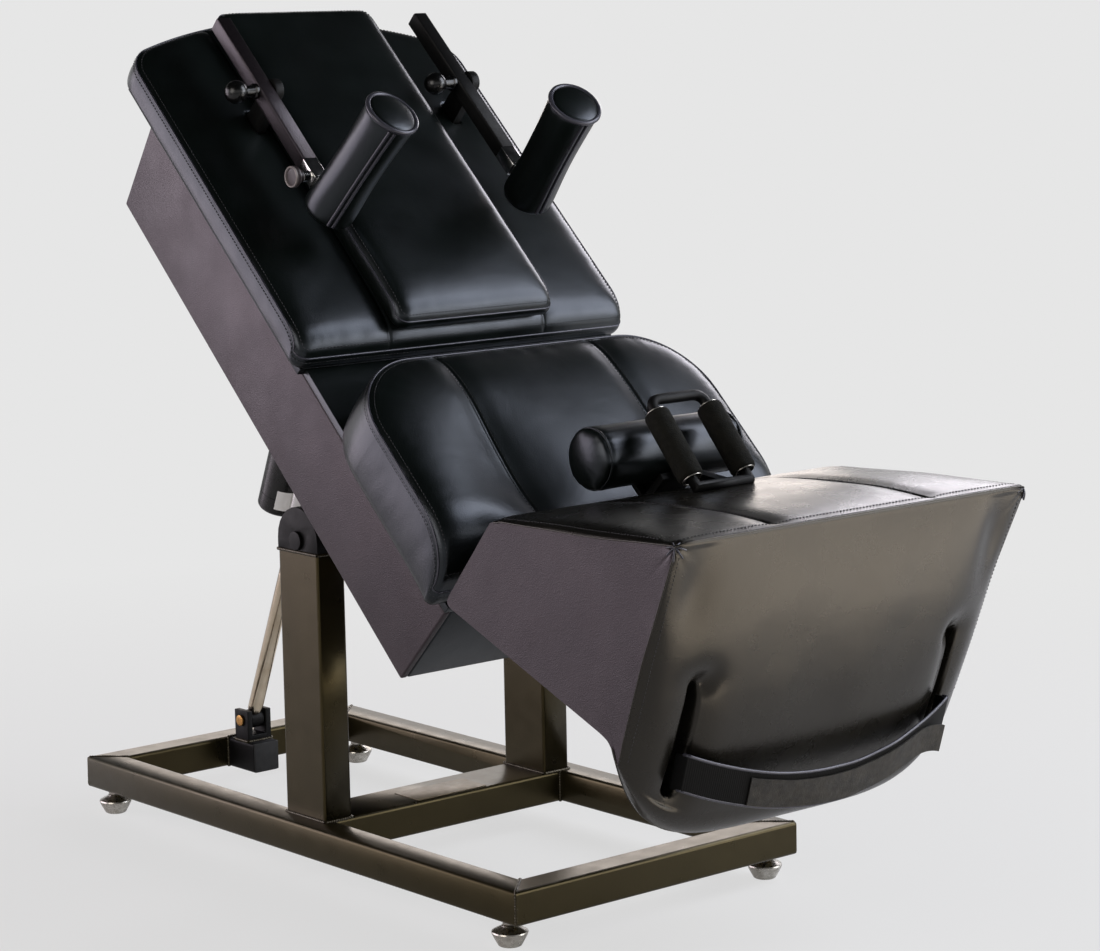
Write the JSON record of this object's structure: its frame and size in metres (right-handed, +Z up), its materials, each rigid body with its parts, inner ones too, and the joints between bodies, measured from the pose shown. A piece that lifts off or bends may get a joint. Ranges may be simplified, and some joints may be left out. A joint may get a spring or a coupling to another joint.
{
  "type": "spinal decompression table",
  "caption": "Tilting clinic table with back, seat and knee pads, underarm posts, a leg strap and hand grips on a tube floor frame, tilted by a linear actuator.",
  "frame": {"origin": "on the floor, at the middle of the footprint of the whole table at rest", "axes": "+Z up, +Y from the knee pad towards the head and the actuator, +X to the right seen from the knee end"},
  "size_m": [0.658, 1.5242, 1.3102],
  "materials": {
    "frame_paint": "satin",
    "vinyl": "satin",
    "panel_vinyl": "matte",
    "black_plastic": "satin",
    "foam": "matte",
    "chrome": "polished",
    "zinc": "satin",
    "brass": "satin",
    "plywood": "matte",
    "webbing": "matte"
  },
  "bodies": {
    "base": {"left_side_rail": "frame_paint", "right_side_rail": "frame_paint", "front_rail": "frame_paint", "rear_rail": "frame_paint", "cross_member": "frame_paint", "left_upright": "frame_paint", "right_upright": "frame_paint", "left_pivot_ear": "frame_paint", "right_pivot_ear": "frame_paint", "pivot_shaft": "zinc", "actuator_stub": "frame_paint", "lower_clevis": "frame_paint", "lower_clevis_pin": "brass"},
    "table": {"left_side_panel": "panel_vinyl", "right_side_panel": "panel_vinyl", "head_end_panel": "panel_vinyl", "foot_end_panel": "vinyl", "underside_panel": "panel_vinyl", "table_frame": "plywood", "seat_board": "plywood", "back_board": "plywood", "left_pivot_lug": "frame_paint", "right_pivot_lug": "frame_paint", "actuator_bracket": "frame_paint", "main_back_pad": "vinyl", "centre_back_pad": "vinyl", "seat_pad": "vinyl", "knee_pad": "vinyl", "leg_strap": "webbing", "knee_board": "plywood", "left_knee_arm": "frame_paint", "right_knee_arm": "frame_paint", "bolster": "vinyl", "bolster_bracket": "frame_paint", "grip_yoke": "frame_paint", "left_hand_grip": "foam", "right_hand_grip": "foam", "left_rail_bracket": "frame_paint", "right_rail_bracket": "frame_paint"},
    "actuator_rod": {"actuator_rod": "chrome"},
    "actuator_body": {"actuator_sleeve": "chrome", "actuator_gearbox": "black_plastic", "actuator_motor": "black_plastic", "upper_clevis_pin": "brass"},
    "front_left_foot": {"front_left_foot": "zinc"},
    "front_right_foot": {"front_right_foot": "zinc"},
    "rear_left_foot": {"rear_left_foot": "zinc"},
    "rear_right_foot": {"rear_right_foot": "zinc"},
    "left_arm": {"left_arm_rail": "frame_paint", "left_rail_collar": "chrome"},
    "left_post": {"left_post_tube": "chrome", "left_arm_post": "vinyl"},
    "left_knob": {"left_rail_knob": "black_plastic"},
    "left_pin": {"left_pop_pin": "black_plastic"},
    "right_arm": {"right_arm_rail": "frame_paint", "right_rail_collar": "chrome"},
    "right_post": {"right_post_tube": "chrome", "right_arm_post": "vinyl"},
    "right_knob": {"right_rail_knob": "black_plastic"},
    "right_pin": {"right_pop_pin": "black_plastic"}
  },
  "joints": [
    {"name": "table_tilt", "type": "hinge", "parent": "base", "child": "table", "pos_m": [0, 0.18413, 0.52], "axis": [-1, 0, 0], "range_deg": [0, 50]},
    {"name": "rod_swing", "type": "hinge", "parent": "base", "child": "actuator_rod", "pos_m": [0, 0.67213, 0.1258], "axis": [-1, 0, 0], "range_deg": [0, 5.2]},
    {"name": "actuator_stroke", "type": "slide", "parent": "actuator_rod", "child": "actuator_body", "axis": [0, 0.3897, -0.9209], "range_m": [0, 0.285]},
    {"name": "front_left_foot_screw", "type": "slide", "parent": "base", "child": "front_left_foot", "axis": [0, 0, -1], "range_m": [0, 0.015]},
    {"name": "front_right_foot_screw", "type": "slide", "parent": "base", "child": "front_right_foot", "axis": [0, 0, -1], "range_m": [0, 0.015]},
    {"name": "rear_left_foot_screw", "type": "slide", "parent": "base", "child": "rear_left_foot", "axis": [0, 0, -1], "range_m": [0, 0.015]},
    {"name": "rear_right_foot_screw", "type": "slide", "parent": "base", "child": "rear_right_foot", "axis": [0, 0, -1], "range_m": [0, 0.015]},
    {"name": "left_arm_swing", "type": "hinge", "parent": "table", "child": "left_arm", "pos_m": [-0.1915, 0.31044, 1.19248], "axis": [-1, 0, 0], "range_deg": [0, 20]},
    {"name": "left_post_slide", "type": "slide", "parent": "left_arm", "child": "left_post", "axis": [0, -0.7193, -0.6947], "range_m": [0, 0.08]},
    {"name": "left_knob_turn", "type": "hinge", "parent": "table", "child": "left_knob", "pos_m": [-0.1915, 0.31044, 1.19248], "axis": [-1, 0, 0], "continuous": true},
    {"name": "left_pin_pull", "type": "slide", "parent": "left_arm", "child": "left_pin", "axis": [-1, 0, 0], "range_m": [0, 0.008], "stiffness_N_per_m": 600},
    {"name": "right_arm_swing", "type": "hinge", "parent": "table", "child": "right_arm", "pos_m": [0.1915, 0.31044, 1.19248], "axis": [-1, 0, 0], "range_deg": [0, 20]},
    {"name": "right_post_slide", "type": "slide", "parent": "right_arm", "child": "right_post", "axis": [0, -0.7193, -0.6947], "range_m": [0, 0.08]},
    {"name": "right_knob_turn", "type": "hinge", "parent": "table", "child": "right_knob", "pos_m": [0.1915, 0.31044, 1.19248], "axis": [-1, 0, 0], "continuous": true},
    {"name": "right_pin_pull", "type": "slide", "parent": "right_arm", "child": "right_pin", "axis": [1, 0, 0], "range_m": [0, 0.008], "stiffness_N_per_m": 600}
  ],
  "couplings": [
    {"joint": "rod_swing", "follows": "table_tilt", "ratio": 0.103},
    {"joint": "actuator_stroke", "follows": "table_tilt", "m_per_rad": 0.326}
  ]
}
